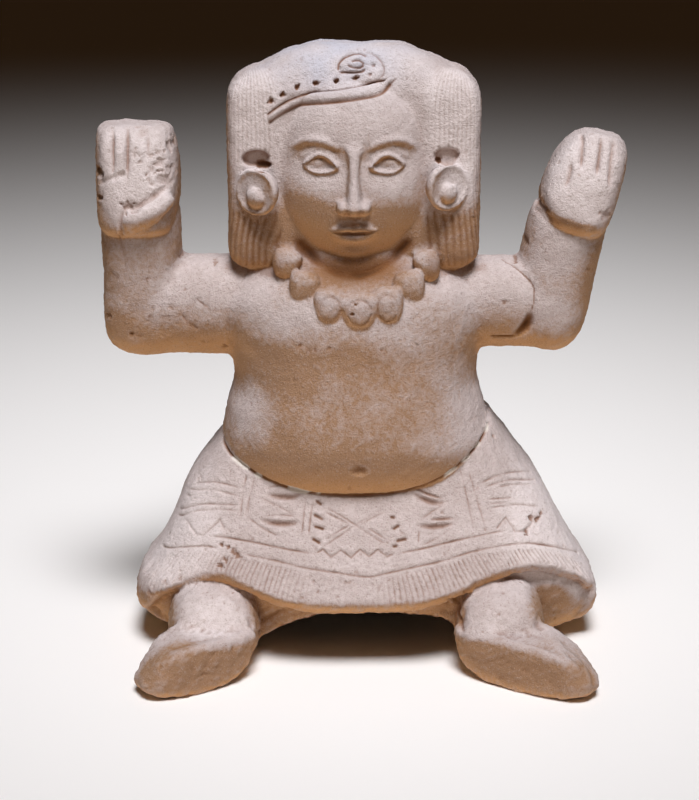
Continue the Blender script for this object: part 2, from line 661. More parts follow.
def stroke(line, width, depth, taper=1.5, worn=0.35, smooth=True, dirt=1.0, pointed=False, seed=1):
    # a groove, or a ridge where the depth is negative, with worn and tapering ends
    path = onSurface(line, smooth=smooth)
    if len(path) < 2:
        return
    near, away, along, whole = nearPath(path, width)
    ends = np.clip(np.minimum(along, 1 - along) * whole / taper + 0.15, 0, 1)
    if pointed:
        ends = np.sin(np.pi * np.clip(along, 0.02, 0.98)) ** 0.7
    half = width / 2 * (0.6 + 0.4 * ends) * 1.2
    profile = np.clip(1 - (away / half) ** 2, 0, 1) ** 1.5
    wear = 1 - worn * (0.5 + 0.5 * ripple(points[near], 5, seed))
    size = abs(depth) * profile * ends * wear
    if depth > 0:
        cut[near] = np.maximum(cut[near], size)
        soil[near] = np.maximum(soil[near], dirt * np.clip(size / abs(depth), 0, 1))
    else:
        rise[near] = np.maximum(rise[near], size)


def dent(x, z, wide, high, depth, turn=0.0, edge=2.0, rough=0.2, dirt=0.5, seed=1, reach=6.0):
    # an oval hollow, or a mound where the depth is negative
    spot = frontSpot(x, z)
    if spot is None:
        return
    size = max(wide, high) * 1.6
    low = spot - (size, max(reach, depth * 2), size)
    near = within(low, spot + (size, max(reach, depth * 2), size))
    dx, dz = points[near, 0] - x, points[near, 2] - z
    c, s = math.cos(math.radians(turn)), math.sin(math.radians(turn))
    across, up = (dx * c + dz * s) / wide, (dz * c - dx * s) / high
    away = np.sqrt(across ** 2 + up ** 2) * (1 + rough * ripple(points[near], max(wide, high) * 0.6, seed))
    profile = np.clip(1 - away ** edge, 0, 1)
    if depth > 0:
        cut[near] = np.maximum(cut[near], depth * profile)
        soil[near] = np.maximum(soil[near], dirt * np.clip(profile * 1.5, 0, 1))
    else:
        rise[near] = np.maximum(rise[near], -depth * profile)


def aroundSection(x, y, section, squareness):
    # how far round a level section a vertex lies, in mm from the middle of its front towards +X
    cx, cy, half, front, back = section
    angles = np.linspace(-math.pi, math.pi, 721)
    ux, uy = np.sin(angles), -np.cos(angles)
    size = (np.abs(ux) ** squareness + np.abs(uy) ** squareness) ** (-1 / squareness)
    px, py = ux * size * half, uy * size * np.where(uy < 0, front, back)
    lengths = np.concatenate(([0], np.cumsum(np.hypot(np.diff(px), np.diff(py)))))
    lengths -= lengths[360]
    depth = np.where(y < cy, front, back)
    return np.interp(np.arctan2((x - cx) / half, -(y - cy) / depth), angles, lengths)


def ramp(values, start, end):
    t = np.clip((values - start) / (end - start), 0, 1)
    return t * t * (3 - 2 * t)


def comb(near, around, pitch, depth, strength, seed, dirt):
    # even combed grooves, worn away in places
    wobble = ripple(points[near], 9, seed) * 0.18 * pitch
    wave = 0.5 + 0.5 * np.cos((around + wobble) * (math.tau / pitch))
    worn = 0.7 + 0.3 * ripple(points[near], 4, seed + 1)
    size = depth * wave ** 1.6 * strength * np.clip(worn, 0.1, 1.2)
    cut[near] = np.maximum(cut[near], size)
    soil[near] = np.maximum(soil[near], dirt * wave ** 2 * strength)


hair = {
    "section": (0, 8.0, 14.5, 14.0), "pitch": 1.62, "depth": 0.2,
    "lowerPitch": 2.3, "lowerDepth": 0.5, "lowerTop": 151.0, "dirt": 0.3,
    "inwards": 9.5, "outwards": 12, "depths": (-17.5, 13), "heights": (130, 198.5),
    "lowerSlant": 0.12, "discClear": (7.8, 9.0),
}


def combHair(side):
    cy, half, front, back = hair["section"]
    middle = head["centre"][0] + side * (head["hairOuter"] - half)
    least, most = sorted((middle - side * hair["inwards"], middle + side * hair["outwards"]))
    near = within((least, hair["depths"][0], hair["heights"][0]),
                  (most, hair["depths"][1], hair["heights"][1]))
    x, y, z = points[near].T
    around = aroundSection(x, y, (middle, cy, half, front, back), head["hairSquareness"])
    # the combing fades towards the face, the back, the crown and the ear disc
    inner = np.abs(x - head["centre"][0])
    strength = ramp(inner, 24.5, 26.5) * ramp(-y, -11, -4) * ramp(-z, -198, -192)
    disc = earDiscs["spots"][0 if side < 0 else 1]
    clear = ramp(np.hypot(x - disc[0], (z - disc[2]) * 0.85), *hair["discClear"])
    clear = np.where(y < -13.5, clear, np.maximum(clear, ramp(inner, 37, 39)))
    low = ramp(-z, -hair["lowerTop"], -hair["lowerTop"] + 3) * ramp(-y, 6, 10)
    comb(near, around, hair["pitch"], hair["depth"], strength * clear * (1 - low), 20 + side, hair["dirt"])
    slanted = around + (z - 131) * hair["lowerSlant"] * side
    strength = ramp(inner, 22, 24) * low * clear
    comb(near, slanted, hair["lowerPitch"], hair["lowerDepth"], strength, 30 + side, 2 * hair["dirt"])


print("combing the hair")
combHair(-1)
combHair(1)


headband = {
    "lower": [(-28.2, 176.4), (-22.3, 180.4), (-15.8, 182.9), (-7.9, 184.0), (2.3, 185.4), (8.5, 186.6),
              (11.5, 189.4)],
    "upper": [(-28.4, 179.2), (-22.1, 183.4), (-14.1, 186.0), (-5.0, 187.4), (6.0, 189.4), (9.6, 190.1)],
    "ridge": [(-28.0, 178.0), (-22.0, 182.2), (-15.0, 184.6), (-6.0, 185.8), (3.0, 187.3), (8.5, 188.6)],
    "holes": [(-27.0, 183.8), (-23.2, 185.8), (-18.7, 187.8), (-12.7, 189.0), (-6.2, 189.7), (0.0, 190.7)],
    "faintHoles": [(4.6, 191.7), (5.5, 194.4)],
    "knot": [[(-5.6, 192.8), (-5.2, 195.1), (-2.8, 196.9), (0.7, 197.7), (3.6, 197.0)],
             [(-5.3, 192.4), (-1.6, 192.3), (1.8, 192.5), (3.0, 193.6)],
             [(-1.6, 195.4), (0.7, 195.8), (2.4, 194.9), (1.6, 193.7), (-1.0, 193.7), (-2.8, 194.6)]],
    "end": [(2.4, 198.2), (6.3, 197.2), (8.8, 194.4), (8.8, 191.7), (6.6, 189.6)],
    "tail": [(13.1, 190.6), (10.9, 188.8), (8.8, 186.8)],
}


def carveHeadband():
    # a raised band between two grooves, a flatter one above it with a row of holes, and the knot
    stroke(headband["ridge"], 4.0, -1.15, taper=1.5, worn=0.15)
    stroke([(x, z + 3.4) for x, z in headband["ridge"]], 4.4, -0.55, taper=2, worn=0.2)
    stroke(headband["lower"], 1.5, 0.75, taper=1, worn=0.15, dirt=1.0)
    stroke(headband["upper"], 1.0, 0.95, taper=1, worn=0.15)
    for x, z in headband["holes"]:
        dent(x, z, 1.15, 0.95, 1.6, turn=20, edge=2.5, dirt=1.0)
    for x, z in headband["faintHoles"]:
        dent(x, z, 1.0, 0.7, 0.6, dirt=0.5)
    dent(-1.2, 194.9, 4.6, 3.2, -0.6, edge=4)
    for line in headband["knot"]:
        stroke(line, 0.95, 0.7, taper=0.8, worn=0.2, dirt=0.9)
    stroke(headband["end"], 0.9, 0.5, worn=0.4, dirt=0.5)
    stroke(headband["tail"], 0.9, 0.5, worn=0.3, dirt=0.5)


def carveEars():
    for x, z, wide, high, depth, turn, edge, rough, dirt in earDiscs["notches"]:
        dent(x, z, wide, high, depth, turn=turn, edge=edge, rough=rough, dirt=dirt)


def carveFace():
    level, half = face["mouthLine"], face["mouthWidth"] / 2
    cx = face["centre"][0]
    stroke([(cx - half, level + 0.1), (cx - half * 0.4, level - 0.15), (cx, level - 0.3),
            (cx + half * 0.4, level - 0.15), (cx + half, level + 0.1)],
           1.1, 0.7, taper=2.5, worn=0.1, dirt=0.4)
    stroke([(cx, face["noseLine"] - 1.8), (cx, level + 2.4)], 2.2, 0.45, taper=1.5, worn=0, dirt=0.1)
    for side in (-1, 1):
        dent(cx + side * 2.2, face["noseLine"] + 0.2, 1.1, 0.8, 1.3, turn=side * -20, dirt=0.5)
        middle, eyeLevel, eye = cx + side * face["eyeWidth"], face["eyeLine"], face["eyeWidth"]
        stroke([(middle - side * eye * 0.46, eyeLevel - 0.6), (middle - side * 2.2, eyeLevel + 1.2),
                (middle + side * 1.2, eyeLevel + 1.9), (middle + side * eye * 0.46, eyeLevel - 0.1)],
               0.8, 0.45, taper=1.5, worn=0.1, dirt=0.2)
        stroke([(middle - side * eye * 0.44, eyeLevel - 1.2), (middle - side * 1.4, eyeLevel - 2.0),
                (middle + side * 2.0, eyeLevel - 2.0), (middle + side * eye * 0.46, eyeLevel - 0.9)],
               0.7, 0.3, taper=1.5, worn=0.1, dirt=0.1)


def carveNecklace():
    # the crease between jaw and neck follows the oval of the face
    wide, tall = face["jawCrease"]
    crease = [(face["middle"] + wide * face["half"][0] * math.cos(a),
               face["centre"][2] + tall * face["half"][2] * math.sin(a))
              for a in (math.radians(220 + 10 * i) for i in range(11))]
    stroke(crease, 4.4, 1.5, taper=3, worn=0.3, dirt=1.5)
    # the three middle beads have a shallow face inside a rim
    for (x, y, z), half, height in necklace["beads"][2:5]:
        ring = [(x + 0.68 * half * math.cos(a), z + 0.3 + 0.66 * height * math.sin(a))
                for a in (math.tau * i / 12 for i in range(13))]
        stroke(ring, 1.1, 0.45, taper=0.5, worn=0.5, dirt=0.3)
    for x, z, size in necklace["pits"]:
        dent(x, z, size, size * 0.8, size * 0.9, rough=0.2, dirt=1.0)


def carveLeftHand():
    # four fingers stand out a little, with a groove and a notch between each two
    for x, width in ((-80.6, 4.6), (-75.4, 4.4), (-69.8, 5.6), (-62.6, 6.4)):
        stroke([(x, 177), (x, 170), (x + 0.2, 163)], width, -0.8, taper=6, worn=0.3)
    for x, low, depth in ((-77.8, 159, 1.1), (-73.0, 158, 1.2), (-66.4, 166, 0.8)):
        stroke([(x, 178), (x + 0.1, 170), (x - 0.1, low)], 1.7, depth, taper=6, worn=0.3, dirt=0.3)
        dent(x, 176.6, 1.3, 2.2, 1.5, edge=2, dirt=0.1, reach=10)
    # hollows and creases of the palm, then the crack that runs down into the wrist
    stroke([(-83, 157.6), (-79.3, 158.6), (-76, 160.2), (-72.5, 161.2)], 2.6, 0.9, taper=2, dirt=0.1)
    dent(-83.2, 160.6, 3.0, 2.2, 1.4, turn=-20, edge=2, dirt=0.1)
    dent(-82.8, 152.4, 2.4, 1.1, 1.0, turn=15, edge=2, dirt=0.2)
    stroke([(-58.6, 158), (-63.5, 154.6), (-68.3, 151.6), (-71.8, 150), (-74.4, 149.8)],
           2.4, 0.9, taper=3, dirt=0.3)
    stroke([(-74.2, 149.6), (-75.6, 145), (-75.2, 140)], 1.5, 0.8, taper=1.5, dirt=0.3)
    stroke([(-75.2, 139), (-74.6, 134), (-74.0, 129)], 0.8, 0.35, taper=4, dirt=0.1)
    for i, (x, z, r, deep) in enumerate(hands["knocks"]):
        dent(x, z, r * 1.2, r, deep, turn=25, rough=0.35, dirt=0.25, seed=i)


def carveRightHand():
    # grooves between and beside the fingers, each with its depth and width
    for line, depth, width in (([(73.4, 176), (72.6, 170), (72.1, 162.5)], 1.3, 1.9),
                               ([(69, 164.4), (68.2, 159.6), (67, 156)], 1.3, 2.1),
                               ([(79.3, 176), (78.4, 168), (77.2, 160)], 1.5, 1.8),
                               ([(83.2, 172.5), (82, 165), (81.4, 156)], 1.2, 2.0),
                               ([(64.3, 168.6), (66.2, 165.4)], 0.7, 1.2)):
        stroke(line, width, depth, taper=3, worn=0.25, dirt=0.35)
    for x, z in ((73.4, 174.6), (79.2, 173.8)):
        dent(x, z, 1.2, 1.8, 1.0, edge=2, dirt=0.1, reach=10)
    # the hollow along the heel of the hand and a few knocks
    stroke([(57, 147.6), (60, 146.6), (66, 144.4), (73, 142.4)], 3.0, 0.7, taper=2, worn=0.3, dirt=0.35)
    dent(80.4, 147.4, 1.8, 1.7, 0.6, rough=0.3, dirt=0.4)
    dent(60.6, 148.2, 2.2, 1.4, 0.9, turn=-20, rough=0.3, dirt=0.6)
    dent(55.5, 136.2, 1.5, 1.4, 0.6, rough=0.3, dirt=0.4)


skirt = {
    "lowerBorder": [(-70, 30), (-65, 33.3), (-60, 35.9), (-55, 37.7), (-49.8, 39.0), (-45.5, 39.1)],
    "lowerBorderMiddle": [(-37, 38.4), (-27, 37.2), (-16.5, 35.3), (-6.7, 34.1), (3.5, 32.8),
                          (9.4, 33.7), (16.7, 35.1), (28, 37.1), (37, 39.2), (46.3, 40.3), (54, 40.2),
                          (60, 39.1), (66.7, 36.4), (72, 33.2), (76, 29.6)],
    "upperBorderLeft": [(-48.3, 42.2), (-41.9, 42.5), (-33, 42.0), (-22, 40.5), (-13.3, 39.5)],
    "upperBorderRight": [(13.2, 39.6), (21.8, 40.9), (33.2, 43.0), (44.6, 44.3), (50, 44.4)],
    "teeth": [(-13.3, 39.4), (-10.7, 40.8), (-8.0, 38.5), (-4.8, 40.6), (-1.5, 38.5), (1.4, 40.8),
              (4.4, 38.8), (7.3, 40.8), (10.3, 38.8), (13.0, 39.8)],
    "zigzags": [[(-56.8, 44.6), (-52.6, 41.5), (-50.4, 41.9), (-44.9, 47.3), (-41.9, 42.8)],
                [(46.2, 45.0), (49.8, 48.2), (52.9, 43.7), (56, 43.3), (60.2, 45.8)],
                [(67.4, 39.2), (71.4, 39.3)]],
    "pinstripes": [[(-53.5, 55.5), (-48.8, 57.2), (-44.4, 57.9), (-37.3, 57.5)],
                   [(-60, 49.5), (-55.4, 52.9), (-48.7, 55.2), (-44.3, 55.5), (-38.0, 55.0)],
                   [(-60.5, 48.0), (-57.6, 50.2), (-53.5, 52.2)],
                   [(-63, 42.6), (-57.3, 47.3), (-51, 50.6), (-43.7, 51.9), (-38.5, 52.4)],
                   [(-63.5, 41.0), (-58.9, 44.6), (-52.3, 48.5), (-44.2, 50.4), (-38.5, 50.7)],
                   [(40.9, 59.0), (46.7, 60.4), (52.7, 60.2), (58.9, 57.7), (64, 53.1)],
                   [(42.6, 57.8), (48.4, 58.5), (53.2, 58.1), (59.3, 55.8), (63.9, 52.4)],
                   [(46.7, 57.2), (53.2, 56.8), (59.3, 55.0)], [(43, 54.2), (52.4, 53.4)],
                   [(43.7, 52.8), (50.6, 52.2)],
                   [(44.2, 51.5), (49.4, 51.5), (55.3, 50.8), (61.3, 48.6)]],
    "bands": [[(-36, 62), (-37, 56.9), (-38, 49.0)], [(-33.2, 61.8), (-34.4, 57), (-35.6, 50.0)],
              [(-34.8, 56), (-36.3, 49.5)], [(-16.2, 57), (-17, 50.6), (-17.6, 44.8)],
              [(-13.6, 56), (-14.7, 50.7), (-15.4, 44.4)], [(34.2, 65.4), (36.4, 56.5), (38.8, 46.0)],
              [(37.2, 63.6), (39.6, 55.7), (42.9, 45.4)], [(36, 57), (38.4, 51)],
              [(-54.2, 58.5), (-54.6, 55.2)], [(-53, 59), (-51.2, 55.9)], [(20.8, 47), (20.4, 41.8)]],
    "diagonals": [[(-33, 55.8), (-25, 52.9), (-19, 49.9)], [(-35.6, 49.3), (-30.5, 46.3), (-25, 44.2)],
                  [(-31.4, 57.4), (-27.7, 58.7), (-23.9, 59.7)], [(-31.1, 49.6), (-25, 50.5), (-19.2, 50.2)],
                  [(21.2, 49.2), (25, 51.6), (29.9, 54.1)], [(21.8, 41.9), (27, 44.1), (32.4, 47.1)],
                  [(-10, 53.3), (-3.5, 50), (0.2, 47.8), (10.2, 42.2)],
                  [(-10, 42), (-3.5, 45.8), (0.2, 48.1), (10.4, 53.6)],
                  [(-10, 51.8), (-4.5, 49.3), (-1.6, 47.8)], [(2.4, 47.9), (6, 46), (10, 43.8)],
                  [(-10, 43.6), (-5, 46.4), (-1.6, 48.2)], [(2, 48.4), (6, 50.2), (10, 52.1)]],
    "wedges": [[(-29.4, 56.3), (-25.1, 55.8), (-20.8, 55.9), (-17.4, 57.1)],
               [(-31.4, 48.5), (-27, 47.9), (-22.4, 47.9), (-18.2, 48.5)],
               [(18.6, 57.6), (22.5, 55.3), (26.5, 54.1), (29.9, 54.3)],
               [(20.2, 47.7), (24.1, 47.2), (28.1, 47.3), (32.4, 47.7)]],
    "lesserWedges": [[(19, 59.4), (23.6, 57.0), (28.8, 55.2)], [(24.2, 49.3), (28.7, 49.4), (32.3, 49.2)]],
    "dashes": [[(-13.2, 55.2), (-10.9, 53.6)], [(-14, 51), (-10.4, 49.4)],
               [(-13.9, 47.6), (-10.1, 46.6)], [(-14.4, 44.1), (-11.4, 42.4)], [(11, 50.4), (13.2, 50)],
               [(12, 46.6), (14.5, 48)], [(13, 43.2), (17, 43.9)], [(11.8, 41.6), (14, 41.9)]],
    "pits": [(-44.2, 40.3, 1.2), (-41.9, 39.9, 1.0), (-40.3, 38.8, 1.3), (-38.8, 37.9, 1.5),
             (-42.6, 35.8, 1.0), (-44.6, 34.2, 1.4), (-43.4, 36.4, 0.9), (-64.2, 37.5, 0.8),
             (58.5, 46.4, 1.5), (60.6, 45.6, 1.4), (62, 46.6, 1.1), (56.6, 43.2, 1.3)],
    "fringePitch": 1.75, "fringeDepth": 0.42, "fringeDirt": 0.35,
    "section": (4, -9, 75, 34.5, 44),
}


def carveSkirt():
    for name, width, depth, worn in (("pinstripes", 0.95, 0.42, 0.5), ("bands", 0.95, 0.36, 0.6),
                                     ("diagonals", 0.95, 0.36, 0.6)):
        for i, line in enumerate(skirt[name]):
            stroke(line, width, depth, taper=2.5, worn=worn, dirt=0.4, seed=i)
    for name in ("lowerBorder", "lowerBorderMiddle", "upperBorderLeft", "upperBorderRight"):
        stroke(skirt[name], 1.0, 0.55, taper=3, worn=0.45, dirt=0.6, seed=7)
    stroke(skirt["teeth"], 1.1, 0.65, smooth=False, worn=0.3, dirt=0.4)
    for line in skirt["zigzags"]:
        stroke(line, 1.1, 0.5, smooth=False, worn=0.4, dirt=0.3)
    for line in skirt["wedges"]:
        stroke(line, 2.4, 1.4, pointed=True, worn=0.1, dirt=0.7)
    for line in skirt["lesserWedges"]:
        stroke(line, 1.5, 0.8, pointed=True, worn=0.1, dirt=0.8)
    for line in skirt["dashes"]:
        stroke(line, 1.35, 1.0, taper=0.8, worn=0.2, dirt=0.9)
    for i, (x, z, r) in enumerate(skirt["pits"]):
        dent(x, z, r * 0.8, r * 0.65, r * 0.6, turn=i * 40, rough=0.3, dirt=0.8, seed=i)
    combFringe()


def hemAt(x):
    heights = np.array(body["hemLine"], float)
    return np.interp(x, heights[:, 0], heights[:, 1])


def borderAt(x):
    line = np.array(skirt["lowerBorder"] + skirt["lowerBorderMiddle"], float)
    return np.interp(x, line[:, 0], line[:, 1])


def combFringe():
    near = within((-86, -60, 14), (86, -16, 42))
    x, y, z = points[near].T
    around = aroundSection(x, y, skirt["section"], body["skirtSquareness"])
    top, bottom = borderAt(x), hemAt(x)
    strength = ramp(top - z, 0.8, 2.0) * ramp(z - bottom, 0.2, 1.4) * ramp(-y, 16, 24)
    strength *= 1 - 0.85 * np.exp(-((x + 4) / 15) ** 4)   # worn away in the middle
    strength *= np.where(x < -48, 0.45, 1.0)
    strength *= ramp(normals[near][:, 2], -0.5, -0.1)
    lean = (z - bottom) * 0.06
    comb(near, around + lean, skirt["fringePitch"], skirt["fringeDepth"], strength, 50, skirt["fringeDirt"])


damage = {
    "bellySeam": [(-46, 70.5), (-43, 67.4), (-36.5, 64.2), (-30, 61.4), (-22, 58.9), (-12, 57.4),
                  (0, 56.8), (12, 57.6), (22, 60), (30, 63.5), (37, 68), (42, 72.3), (46, 77)],
    "elbowCrack": [(44.6, 130.6), (47.6, 129.5), (51.5, 128.3), (54.4, 126.6), (56.8, 124.5), (58.2, 122),
                   (58.2, 117.7), (57.2, 114.4)],
    "elbowChip": [(57.3, 114.4), (56.7, 111.6), (55.2, 108.2), (52.4, 105.9)],
    "elbowUnder": [(53, 105.6), (48.5, 105.4), (44, 105.6)],
    "elbowPit": (44.6, 130.4, 3.4, 2.0, 1.8),
    "roughBreak": [[(-32.4, 10.5), (-29, 13), (-24.5, 15.8), (-20, 17.6)],
                   [(-31, 20), (-27, 21.4), (-23.4, 20.4)], [(-32, 15.2), (-28.6, 17.5)],
                   [(31, 22.6), (33.6, 19.6), (35.2, 15.6)], [(28.5, 21.5), (31.5, 17.6)],
                   [(27.6, 17), (31, 14.6)]],
    "marks": [[(-80.1, 127.7), (-76.8, 125.1)], [(-61, 117), (-59.2, 114.6)],
              [(-57.2, 114.5), (-54.6, 110.4), (-52.4, 109.2)], [(-55.4, 112), (-51.2, 108.2)],
              [(-74.6, 106.7), (-69.3, 106.1)], [(-76.6, 141), (-75.2, 134), (-74.4, 128)],
              [(-52, 119), (-47, 115)], [(-64, 112.8), (-60, 113.4)]],
    "chips": [(-81.4, 112.2, 1.2), (-67.8, 125.7, 0.9), (-67.6, 112.9, 0.9), (-43, 101.8, 1.1),
              (-46, 129, 0.9), (52.6, 129.4, 0.9), (48.5, 117.5, 0.9), (-73.6, 106.8, 1.2),
              (-18, 107.4, 0.9), (-13, 106, 0.8), (-8.5, 107, 0.8), (-63, 26, 1.0), (-58, 28.5, 0.9),
              (-69, 21.5, 1.1), (-17.5, 26.5, 0.8), (36, 27, 1.4), (31, 24.6, 1.3), (33.5, 21.4, 1.5),
              (-57.5, 131, 0.9), (-57, 134.6, 1.1)],
}


def carveDamage():
    stroke(damage["bellySeam"], 1.3, 0.9, taper=4, worn=0.4, dirt=1.1, seed=3)
    stroke(damage["elbowCrack"], 0.6, 0.8, taper=1.5, worn=0.1, dirt=0.6)
    stroke(damage["elbowChip"], 3.6, 2.6, pointed=True, worn=0.1, dirt=1.5)
    stroke(damage["elbowUnder"], 1.0, 0.8, worn=0.1, dirt=1.2)
    dent(*damage["elbowPit"], turn=-35, edge=3, rough=0.2, dirt=1.2)
    for i, line in enumerate(damage["marks"]):
        stroke(line, 0.9, 0.4, worn=0.3, dirt=0.4, seed=i)
    for i, (x, z, r) in enumerate(damage["chips"]):
        dent(x, z, r, r * 0.8, r * 0.5, turn=i * 50, rough=0.3, dirt=0.5, seed=i)
    dent(*body["navel"], edge=2.2, rough=0.05, dirt=0.0)
    for i, line in enumerate(damage["roughBreak"]):
        stroke(line, 2.2, 0.9, taper=2, worn=0.6, dirt=0.5, seed=90 + i)


pits = [  # how many, smallest and largest radius, how far up, seed
    (300, 0.4, 1.1, 200, 71), (260, 0.3, 0.9, 36, 72),
]


def scatterPits(number, smallest, largest, top, seed):
    # sand grains that fell out and small knocks, spread over the surface up to a height
    rng = np.random.default_rng(seed)
    for index in rng.choice(np.nonzero((points[:, 2] < top) & (points[:, 1] < 30))[0], number):
        if onFace(points[index]):
            continue
        radius = smallest + (largest - smallest) * rng.random() ** 2.5
        near = within(points[index] - radius, points[index] + radius)
        away = np.linalg.norm(points[near] - points[index], axis=1) / radius
        away *= 1 + 0.3 * ripple(points[near], radius * 0.7, int(index))
        profile = np.clip(1 - away ** 2, 0, 1)
        cut[near] = np.maximum(cut[near], radius * 0.35 * profile)
        soil[near] = np.maximum(soil[near], 0.4 * profile)


def onFace(spots):
    # 1 over the face, fading to 0 around it
    x, y, z = np.atleast_2d(spots).T
    cx, cy, cz = face["centre"]
    return (np.exp(-((x - cx) / 24) ** 6 - ((z - cz) / 29) ** 6) * (y < -11)).round(2)


def weather():
    # the broad unevenness of hand-pressed clay, then the eroded sandy skin
    broad = 0.15 * ripple(points, 14, 61) + 0.10 * ripple(points, 6, 62)
    eroded = 0.09 * ripple(points, 2.4, 63) + 0.07 * ripple(points, 1.3, 64)
    eroded *= 1 + 0.9 * ramp(-points[:, 2], -40, -22)
    calm = 1 - 0.75 * onFace(points)
    back = ramp(points[:, 1], 4, 14)
    return broad * calm * (1 + 1.6 * back) + eroded * calm


print("carving")
carveHeadband()
carveEars()
carveFace()
carveNecklace()
carveLeftHand()
carveRightHand()
carveSkirt()
carveDamage()
for kind in pits:
    scatterPits(*kind)

moved = points + normals * (rise - cut + weather())[:, None]
moved[:, 2] = np.maximum(moved[:, 2], 0.0)
moved[points[:, 2] < 0.01, 2] = 0.0
mesh.vertices.foreach_set("co", moved.ravel())
mesh.update()


def spread(values, edges, rounds):
    # averages each vertex with its neighbours, over and over
    degree = np.bincount(edges.ravel(), minlength=len(values)).astype(float)
    for i in range(rounds):
        total = np.bincount(edges[:, 0], values[edges[:, 1]], len(values))
        total += np.bincount(edges[:, 1], values[edges[:, 0]], len(values))
        values = 0.5 * values + 0.5 * total / np.maximum(degree, 1)
    return values


def hollows(rounds, depth):
    # how far each vertex lies in a hollow, from the mesh's own averaged surface
    smooth = np.stack([spread(moved[:, k], edges, rounds) for k in range(3)], axis=1)
    return np.clip(((smooth - moved) * normals).sum(axis=1) / depth, -1, 1)


def store(name, values):
    layer = mesh.attributes.new(name, "FLOAT", "POINT")
    layer.data.foreach_set("value", values.astype(np.float32))


print("reading the hollows")
edges = np.empty(len(mesh.edges) * 2, dtype=np.int64)
mesh.edges.foreach_get("vertices", edges)
edges = edges.reshape(-1, 2)
cavity = hollows(24, 0.35) * (1 - 0.9 * onFace(moved))
x, y, z = moved.T

dusting = {
    "from": (0.06, -0.26, 0.96), "bareBelow": -0.08, "fullAbove": 0.52,
    "freshBelow": 0.2, "freshestBelow": -0.35,
    "bare": [  # middle, half sizes and amount of dust rubbed off; below 0 it lies thicker
        ((-4, -32, 86), (46, 24, 30), 0.7), ((-0.6, -20, 140), (28, 14, 18), 0.5),
        ((0, -22, 127), (28, 12, 9), 0.5), ((1.1, -36, 67), (4.5, 8, 3.4), -0.5),
        ((-18, -20, 148), (10, 10, 12), 0.3), ((-55, -62, 13), (10, 8, 6), 0.7),
        ((-47, -46, 17), (13, 12, 10), -0.6), ((48, -48, 15), (11, 10, 8), -0.35),
        ((60, -17, 146.6), (6, 9, 2.6), 1.3), ((66, -17, 144.6), (6, 9, 2.6), 1.3),
        ((72.5, -17, 142.6), (6, 9, 2.8), 1.3), ((67, -12, 133), (12, 12, 7), -0.3),
        ((0, -5, 193), (26, 22, 9), -0.4), ((-34, -24, 84), (10, 14, 14), -0.3),
        ((25, -22, 115), (13, 10, 9), 0.35), ((-22, -24, 122), (14, 8, 7), 0.15),
        ((-50, -62, 8), (30, 22, 11), 0.4), ((56, -63, 8), (32, 20, 11), 0.55),
        ((-68, -34, 14), (12, 12, 9), 0.8), ((68, -34, 17), (14, 14, 8), 0.9),
        ((62, -36, 21.5), (17, 16, 6), 1.0), ((-62, -36, 18), (14, 16, 6), 0.5),
        ((-64, -67, 8), (10, 9, 8), 0.8), ((71, -70, 8), (10, 8, 7), 0.8),
        ((45, -52, 12), (8, 14, 7), 0.5), ((-32, -14, 140), (14, 12, 13), 0.6),
        ((32, -14, 140), (14, 12, 13), 0.6), ((-78, -10, 106), (14, 14, 12), 0.4),
        ((-27, -37, 17), (14, 9, 11), 1.0), ((33, -37, 16), (10, 9, 11), 1.0),
        ((-70, -16, 162), (20, 14, 24), -0.45), ((72, -16, 158), (22, 14, 24), -0.65),
        ((-33, -14, 178), (12, 12, 28), -0.7), ((33, -14, 178), (12, 12, 30), -1.1),
        ((68, -24, 40), (24, 28, 32), -0.7), ((-62, -24, 44), (24, 28, 28), -0.55),
        ((66, -14, 112), (11, 12, 10), -0.3),
    ],
}
broadNormals = np.stack([spread(normals[:, k], edges, 10) for k in range(3)], axis=1)
calmNormals = np.stack([spread(broadNormals[:, k], edges, 70) for k in range(3)], axis=1)
faceWeight = onFace(moved)[:, None]
broadNormals += 0.7 * faceWeight * (calmNormals - broadNormals)
dust = ramp(broadNormals @ np.array(dusting["from"]), dusting["bareBelow"], dusting["fullAbove"])
for middle, half, amount in dusting["bare"]:
    away = np.sqrt((((moved - middle) / half) ** 2).sum(axis=1))
    dust -= amount * ramp(-away, -1.15, -0.45)
# soil in the arch under the skirt, under the chin and on the lower ends of the hair
archLine = np.array(body["archLine"], float)
inside = (z < np.interp(x, archLine[:, 0], archLine[:, 1]) + 0.7) & (np.abs(x) < 34) & (y > -33) & (y < 30)
soil[inside] = 2.0
underChin = np.sqrt((((moved - (0, -15, face["chin"] - 1)) / (24, 10, 8)) ** 2).sum(axis=1))
soil = np.maximum(soil, 0.9 * ramp(-underChin, -1.1, -0.3) * (y > -23))
hairEnds = (np.abs(x) > 23) & (np.abs(x) < 43) & (y < -6)
patchySoil = 0.8 + 0.2 * ripple(points, 4, 83)
soil = np.maximum(soil, 0.55 * ramp(-z, -140, -129) * (z > 127) * hairEnds * patchySoil)
# glue left in patches along the mend under the belly
glueLine = onSurface(damage["bellySeam"])
glue = np.zeros(count)
near, away, along, whole = nearPath(glueLine, 3.0)
patchy = ripple(points[near], 3.5, 81)
weight = np.where(along < 0.4, 1.0, np.where(along > 0.7, 0.8, 0.0)) * ramp(along, 0.04, 0.14)
glue[near] = np.clip(ramp(-away, -1.5, -0.4) * weight * ramp(patchy, 0.1, 0.7), 0, 1)
stain = np.exp(-((x + 8) / 24) ** 2 - ((z - 197) / 9) ** 2) * (0.75 + 0.25 * ripple(points, 5, 82))
fresh = ramp(broadNormals @ np.array(dusting["from"]), dusting["freshBelow"], dusting["freshestBelow"])
store("dust", np.clip(dust, -0.5, 1.6))
store("fresh", fresh)
store("soil", np.clip(soil, 0, 2))
store("cavity", cavity)
store("glue", glue)
store("stain", np.clip(stain, 0, 1))

